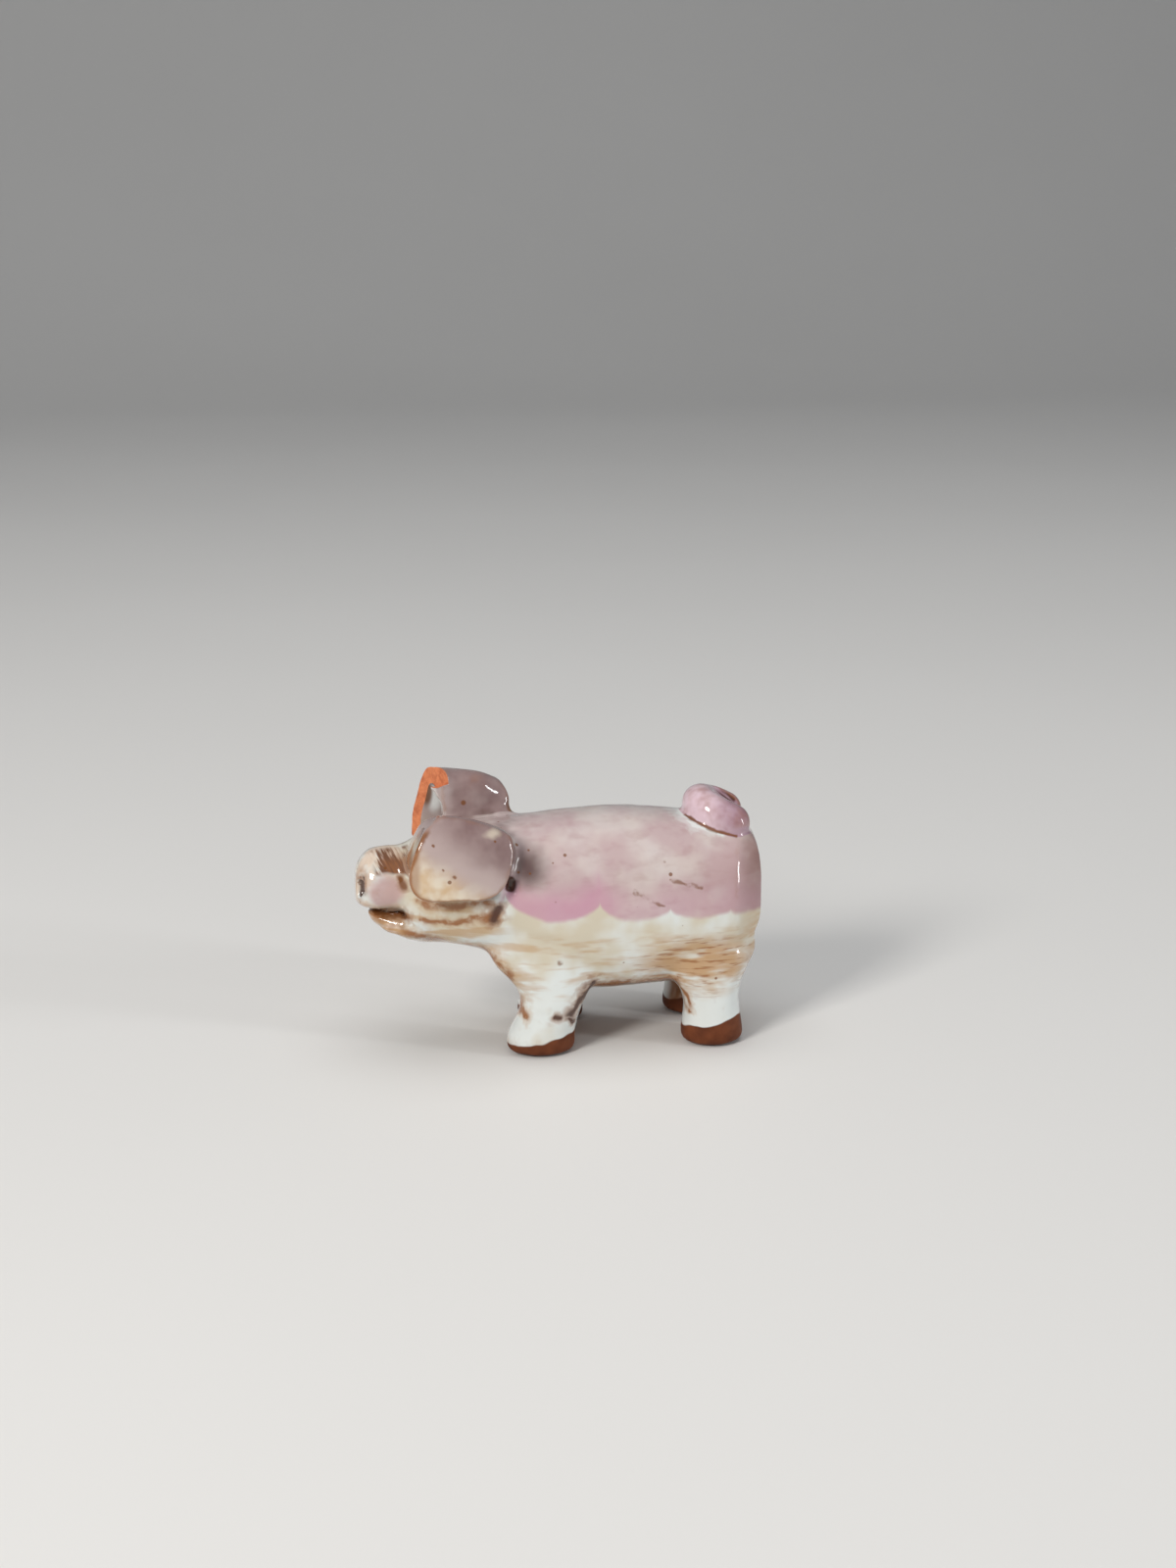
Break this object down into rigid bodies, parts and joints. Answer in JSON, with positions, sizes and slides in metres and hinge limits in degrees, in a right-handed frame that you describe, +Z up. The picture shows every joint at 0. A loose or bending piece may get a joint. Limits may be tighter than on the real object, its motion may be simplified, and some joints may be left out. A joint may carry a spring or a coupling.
{
  "type": "pig figurine",
  "caption": "Small hand-built ceramic pig standing on stub legs, white glaze with brushed mauve back, folded ears, coiled tail and bare clay feet.",
  "frame": {"origin": "middle of the figure's footprint on the floor under its feet", "axes": "+X towards the tail, -X towards the nose, +Y towards the animal's right side, +Z up"},
  "size_m": [0.0638, 0.0264, 0.0428],
  "materials": {
    "body_glaze": "glossy white glaze with a brushed mauve overglaze on the upper half",
    "white_glaze": "glossy white glaze breaking to brown on edges, bare clay at the feet",
    "mauve_glaze": "glossy brushed mauve overglaze"
  },
  "bodies": {
    "root": {"torso": "body_glaze", "head": "white_glaze", "snout": "white_glaze", "left_ear": "mauve_glaze", "right_ear": "mauve_glaze", "front_left_leg": "white_glaze", "front_right_leg": "white_glaze", "rear_left_leg": "white_glaze", "rear_right_leg": "white_glaze", "tail": "mauve_glaze"}
  },
  "joints": []
}
